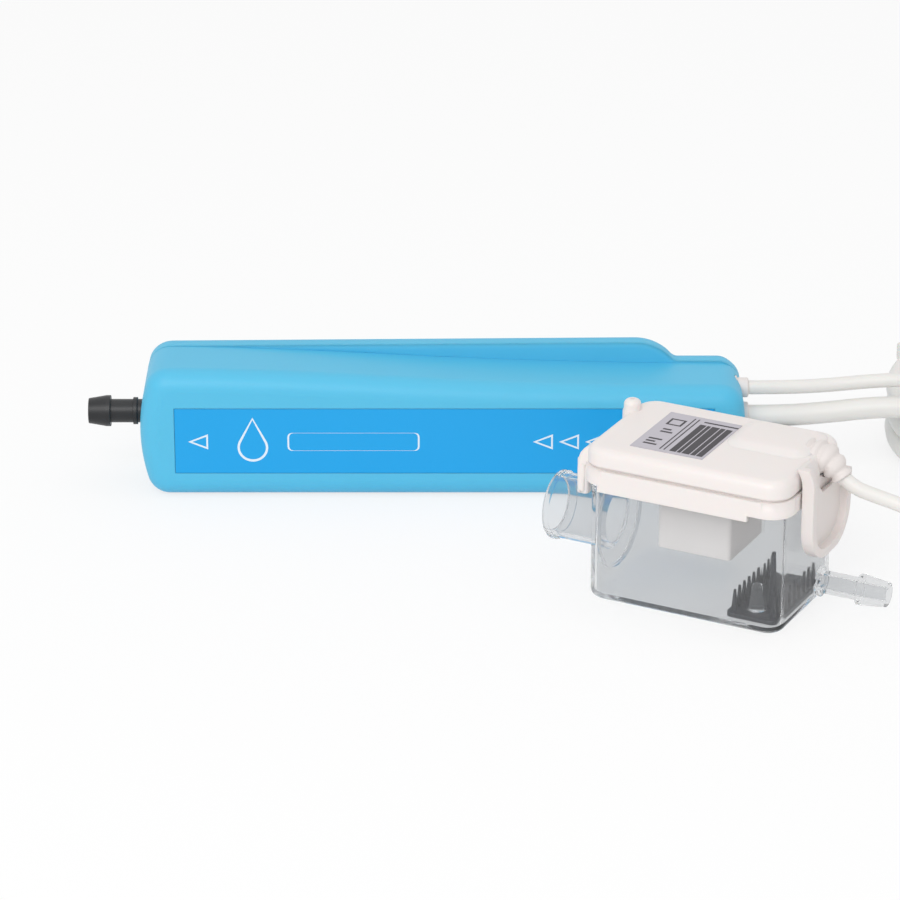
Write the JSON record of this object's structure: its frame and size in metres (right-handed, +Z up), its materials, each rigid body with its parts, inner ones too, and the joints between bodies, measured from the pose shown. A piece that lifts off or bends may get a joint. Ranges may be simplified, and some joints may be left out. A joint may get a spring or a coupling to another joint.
{
  "type": "condensate pump",
  "caption": "Slim condensate pump with hose barbs and coiled leads, and a clear float-switch reservoir with a lift-off white lid.",
  "frame": {"origin": "middle of the pump casing's flat underside", "axes": "+X along the pump towards its leads, +Y away from the reservoir, +Z up"},
  "size_m": [0.3256, 0.1856, 0.0472],
  "materials": {
    "casing_blue": "moulded ABS, satin",
    "label_blue": "printed polycarbonate film",
    "black_nylon": "moulded glass-filled nylon",
    "clear_plastic": "clear moulded polycarbonate",
    "white_plastic": "moulded white ABS",
    "label_grey": "printed paper label",
    "white_pvc": "white PVC cable jacket",
    "grey_rubber": "moulded rubber",
    "white_rubber": "moulded white rubber",
    "seal_rubber": "nitrile rubber",
    "foam": "closed-cell foam",
    "steel": "zinc-plated steel",
    "stainless": "stainless steel",
    "copper": "enamelled copper",
    "nylon": "natural nylon",
    "board_green": "glass epoxy board",
    "component_black": "moulded component cases",
    "float_white": "closed-cell float",
    "magnet": "ferrite",
    "filter_black": "moulded polypropylene",
    "tie_white": "nylon strap",
    "hose_clear": "soft vinyl hose"
  },
  "bodies": {
    "root": {"board_components": "component_black", "bobbin": "nylon", "buffer_spring": "stainless", "cable_ties": "tie_white", "casing_back": "casing_blue", "casing_front": "casing_blue", "casing_screws": "steel", "circuit_board": "board_green", "float_lead": "white_pvc", "foam_mount_left": "foam", "foam_mount_right": "foam", "inlet_barb": "black_nylon", "inlet_cap": "black_nylon", "inlet_spring": "stainless", "label_panel": "label_blue", "main_spring": "stainless", "mains_coil": "white_pvc", "mains_cores": "copper", "mains_gland": "white_rubber", "mains_lead": "white_pvc", "mains_tail": "white_pvc", "outlet_barb": "black_nylon", "outlet_spring": "stainless", "piston_seal": "seal_rubber", "pump_tube": "stainless", "sensor_coil": "white_pvc", "sensor_gland": "white_rubber", "sensor_lead": "white_pvc", "suction_hose": "hose_clear", "tank": "clear_plastic", "valve_head": "black_nylon", "valve_retainer": "nylon", "winding": "copper", "yoke": "steel"},
    "armature": {"armature": "steel", "plunger": "stainless"},
    "outlet_valve": {"outlet_valve": "seal_rubber"},
    "inlet_valve": {"inlet_valve": "seal_rubber"},
    "lid": {"lid_base": "white_plastic", "lid_cover": "white_plastic", "vent_tube": "white_plastic", "lid_gasket": "seal_rubber", "lid_label": "label_grey", "grommet": "white_rubber", "sensor_board": "board_green", "float_clip": "stainless"},
    "latch": {"latch": "white_plastic"},
    "float": {"float_block": "float_white", "float_magnet": "magnet"},
    "filter": {"filter_screen": "filter_black"}
  },
  "joints": [
    {"name": "armature_slide", "type": "slide", "parent": "root", "child": "armature", "axis": [1, 0, 0], "range_m": [-0.0015, 0.0015], "stiffness_N_per_m": 300, "deforming": ["buffer_spring", "main_spring"]},
    {"name": "outlet_valve_slide", "type": "slide", "parent": "root", "child": "outlet_valve", "axis": [-1, 0, 0], "range_m": [0, 0.0012], "stiffness_N_per_m": 3, "springref_m": -0.0005, "deforming": ["outlet_spring"]},
    {"name": "inlet_valve_slide", "type": "slide", "parent": "root", "child": "inlet_valve", "axis": [-1, 0, 0], "range_m": [0, 0.0008], "stiffness_N_per_m": 3, "springref_m": -0.0005, "deforming": ["inlet_spring"]},
    {"name": "lid_lift", "type": "slide", "parent": "root", "child": "lid", "axis": [0, 0, 1], "range_m": [0, 0.03]},
    {"name": "latch_flex", "type": "hinge", "parent": "lid", "child": "latch", "pos_m": [0.0976, -0.09104, 0.041], "axis": [-0.4617, -0.887, 0], "range_deg": [0, 12], "stiffness_Nm_per_rad": 0.01},
    {"name": "float_slide", "type": "slide", "parent": "lid", "child": "float", "axis": [0, 0, 1], "range_m": [0, 0.0045]},
    {"name": "filter_lift", "type": "slide", "parent": "root", "child": "filter", "axis": [0, 0, 1], "range_m": [0, 0.009]}
  ]
}
